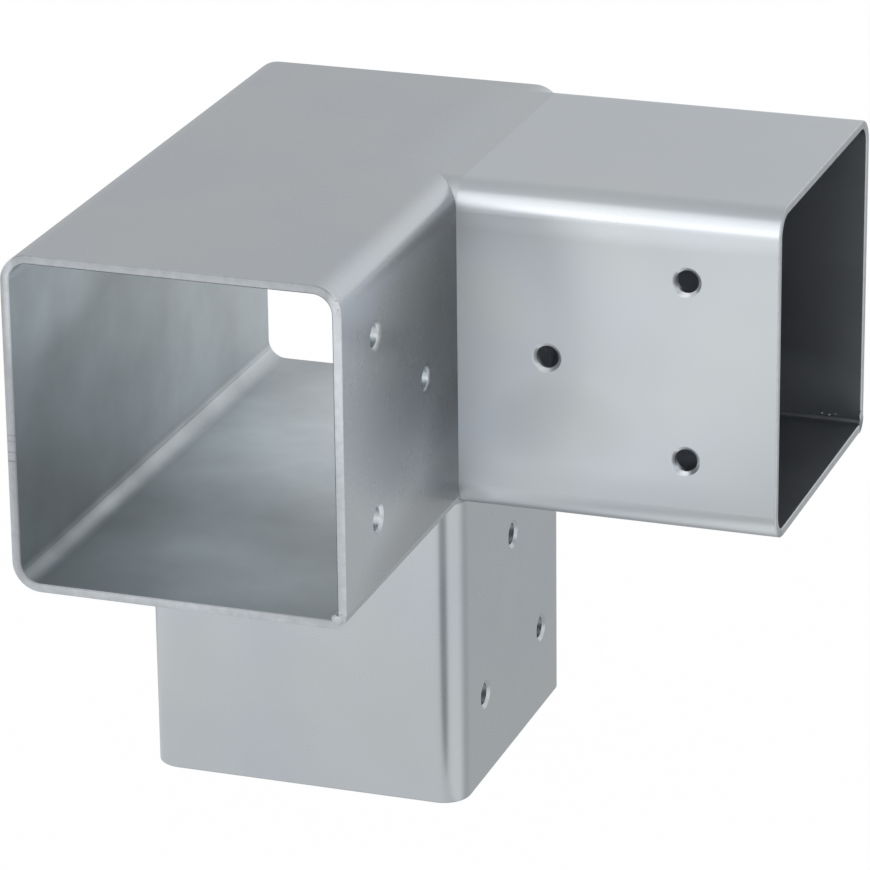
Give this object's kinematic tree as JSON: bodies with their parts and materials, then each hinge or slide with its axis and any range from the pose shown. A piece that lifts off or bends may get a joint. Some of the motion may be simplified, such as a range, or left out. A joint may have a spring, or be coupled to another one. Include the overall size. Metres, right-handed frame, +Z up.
{
  "type": "three way corner connector",
  "caption": "Welded steel corner connector for square timber: a through sleeve front to back, a side sleeve and a leg sleeve below, each with screw holes.",
  "frame": {"origin": "centre of the leg's open lower end, on its rim", "axes": "+Z up, out of the leg towards the through sleeve; -Y towards the through sleeve's near mouth; +X towards the side sleeve's mouth"},
  "size_m": [0.188, 0.188, 0.188],
  "materials": {
    "zinc_sheet": "satin zinc plating over folded sheet steel",
    "ground_weld": "weld metal ground flush and zinc plated"
  },
  "bodies": {
    "root": {"through_sleeve": "zinc_sheet", "side_sleeve": "zinc_sheet", "leg_sleeve": "zinc_sheet", "through_seam_weld": "ground_weld", "side_seam_weld": "ground_weld", "leg_seam_weld": "ground_weld", "top_joint_weld": "ground_weld", "corner_joint_weld": "ground_weld", "left_joint_weld": "ground_weld"}
  },
  "joints": []
}
